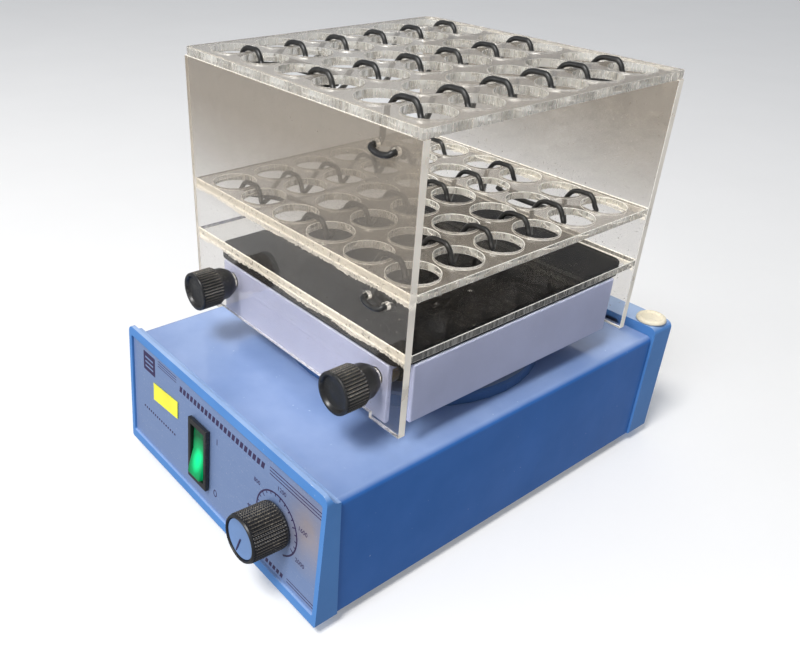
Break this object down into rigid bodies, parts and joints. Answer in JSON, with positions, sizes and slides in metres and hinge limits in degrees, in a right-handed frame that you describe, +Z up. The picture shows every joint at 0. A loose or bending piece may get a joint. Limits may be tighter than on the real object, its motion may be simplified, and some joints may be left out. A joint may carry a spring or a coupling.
{
  "type": "vortex mixer",
  "caption": "Small orbital shaker: low sloping-front base with a switch and dial, orbiting platform and a clear laced test tube rack clamped on top.",
  "frame": {"origin": "centre of the overall footprint at the height of the feet", "axes": "+X to the right seen from the front, +Y from the front to the back, +Z up"},
  "size_m": [0.157, 0.2474, 0.1986],
  "materials": {
    "painted_blue": "gloss enamel, slightly scuffed",
    "bezel_blue": "satin moulded",
    "panel_foil": "silver-blue printed foil",
    "label_yellow": "plain paper label",
    "black_plastic": "satin",
    "lit_green": "translucent, lit from inside",
    "cap_silver_blue": "satin foil",
    "steel": "machined",
    "zinc_sheet": "zinc plated sheet",
    "cast_aluminium": "cast",
    "platform_grey": "grey-lavender enamel",
    "black_rubber": "matt, dusty",
    "cord_rubber": "smooth",
    "acrylic": "clear cast acrylic, polished edges",
    "ivory_plastic": "satin",
    "circuit_board": "solder mask",
    "iron_core": "laminated",
    "brass": "machined",
    "coil_tape": "wound tape over enamelled wire"
  },
  "bodies": {
    "base": {"base_plate": "zinc_sheet", "bearing_housing": "cast_aluminium", "control_board": "circuit_board", "drive_belt": "black_rubber", "drive_collar": "painted_blue", "foot_front_left": "black_rubber", "foot_front_right": "black_rubber", "foot_rear_left": "black_rubber", "foot_rear_right": "black_rubber", "front_bezel": "bezel_blue", "fuse_holder": "black_plastic", "housing_cover": "painted_blue", "idler_post_front": "cast_aluminium", "idler_post_rear": "cast_aluminium", "lower_bearing": "steel", "mains_inlet": "black_plastic", "motor": "iron_core", "motor_bracket": "zinc_sheet", "panel_foil": "panel_foil", "panel_label": "label_yellow", "pot_body": "iron_core", "rear_frame": "bezel_blue", "rear_screw_left": "steel", "rear_screw_right": "steel", "rod_plug_left": "ivory_plastic", "rod_plug_right": "ivory_plastic", "switch_housing": "black_plastic", "transformer_coil": "coil_tape", "transformer_core": "iron_core", "upper_bearing": "steel"},
    "drive_crank": {"drive_crank": "steel", "counterweight": "brass", "driven_pulley": "black_plastic"},
    "idler_front": {"idler_crank_front": "steel"},
    "idler_rear": {"idler_crank_rear": "steel"},
    "motor_rotor": {"motor_rotor": "steel"},
    "platform": {"platform": "platform_grey", "platform_mat": "black_rubber", "platform_hub": "cast_aluminium", "idler_bush_front": "brass", "idler_bush_rear": "brass", "pin_bearing": "steel", "rack_top_plate": "acrylic", "rack_middle_plate": "acrylic", "rack_bottom_plate": "acrylic", "rack_front_plate": "acrylic", "rack_back_plate": "acrylic", "clamp_nut_left": "brass", "clamp_nut_right": "brass", "top_cord": "cord_rubber", "middle_cord": "cord_rubber"},
    "thumbscrew_left": {"thumbscrew_left": "black_plastic"},
    "thumbscrew_right": {"thumbscrew_right": "black_plastic"},
    "knob": {"speed_knob": "black_plastic", "knob_cap": "cap_silver_blue", "pot_shaft": "brass"},
    "rocker": {"rocker": "lit_green"}
  },
  "joints": [
    {"name": "drive_spin", "type": "hinge", "parent": "base", "child": "drive_crank", "pos_m": [0.00375, 0.00743, 0.055], "axis": [0, 0, 1], "continuous": true},
    {"name": "platform_level", "type": "hinge", "parent": "drive_crank", "child": "platform", "pos_m": [0.00575, 0.00743, 0.069], "axis": [0, 0, 1], "continuous": true},
    {"name": "idler_front_spin", "type": "hinge", "parent": "base", "child": "idler_front", "pos_m": [0.00375, -0.02857, 0.055], "axis": [0, 0, 1], "continuous": true},
    {"name": "idler_rear_spin", "type": "hinge", "parent": "base", "child": "idler_rear", "pos_m": [0.00375, 0.04343, 0.055], "axis": [0, 0, 1], "continuous": true},
    {"name": "motor_spin", "type": "hinge", "parent": "base", "child": "motor_rotor", "pos_m": [0.00375, 0.07343, 0.047], "axis": [0, 0, 1], "continuous": true},
    {"name": "speed_turn", "type": "hinge", "parent": "base", "child": "knob", "pos_m": [0.0478, -0.10605, 0.0365], "axis": [0, 0.9972, -0.0752], "range_deg": [0, 280]},
    {"name": "rocker_tilt", "type": "hinge", "parent": "base", "child": "rocker", "pos_m": [-0.0112, -0.1028, 0.03434], "axis": [1, 0, 0], "range_deg": [0, 16]},
    {"name": "thumbscrew_left_turn", "type": "hinge", "parent": "platform", "child": "thumbscrew_left", "pos_m": [-0.0444, -0.06562, 0.0962], "axis": [0, -1, 0], "range_deg": [0, 360]},
    {"name": "thumbscrew_right_turn", "type": "hinge", "parent": "platform", "child": "thumbscrew_right", "pos_m": [0.0566, -0.06562, 0.0962], "axis": [0, -1, 0], "range_deg": [0, 360]}
  ],
  "couplings": [
    {"joint": "platform_level", "follows": "drive_spin", "ratio": -1},
    {"joint": "idler_front_spin", "follows": "drive_spin", "ratio": 1},
    {"joint": "idler_rear_spin", "follows": "drive_spin", "ratio": 1},
    {"joint": "motor_spin", "follows": "drive_spin", "ratio": 3.1111}
  ]
}
